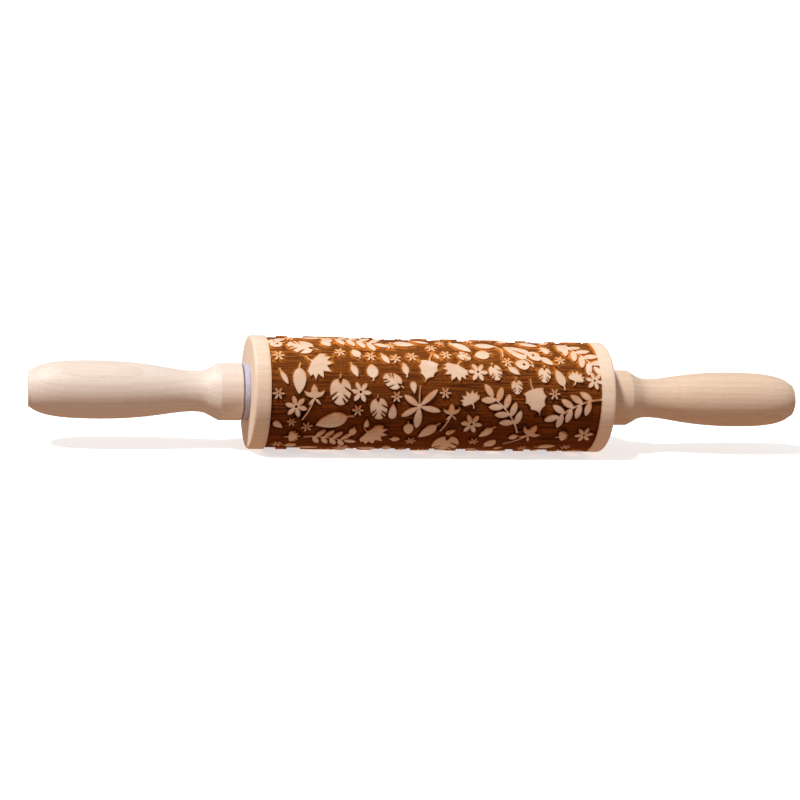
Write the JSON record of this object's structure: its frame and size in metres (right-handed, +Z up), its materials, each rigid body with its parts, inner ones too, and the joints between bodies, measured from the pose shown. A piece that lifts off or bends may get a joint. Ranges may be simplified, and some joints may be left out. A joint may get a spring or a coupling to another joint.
{
  "type": "engraved rolling pin",
  "caption": "Rolling pin with turned wooden handles and a freely spinning wooden barrel, laser-engraved all round with leaves and flowers to print a pattern into dough or clay.",
  "frame": {"origin": "middle of the barrel, on the axis that the axle, barrel and handles share", "axes": "+X along the axle from the left handle to the right one, +Z up as it lies on a bench"},
  "size_m": [0.35, 0.05, 0.05],
  "materials": {
    "engraved_beech": "sanded bare beech, engraved ground burnt brown by the laser",
    "turned_beech": "lathe-turned bare beech, fine sanded",
    "white_nylon": "satin moulded",
    "bright_steel": "bright drawn",
    "brass": "machined"
  },
  "bodies": {
    "handle_set": {"axle_rod": "bright_steel", "thrust_washer_left": "bright_steel", "thrust_washer_right": "bright_steel", "insert_nut_left": "brass", "insert_nut_right": "brass", "handle_left": "turned_beech", "handle_right": "turned_beech"},
    "barrel": {"roller_barrel": "engraved_beech", "bush_left": "white_nylon", "bush_right": "white_nylon"}
  },
  "joints": [
    {"name": "barrel_spin", "type": "hinge", "parent": "handle_set", "child": "barrel", "pos_m": [0, 0, 0], "axis": [1, 0, 0], "continuous": true}
  ]
}
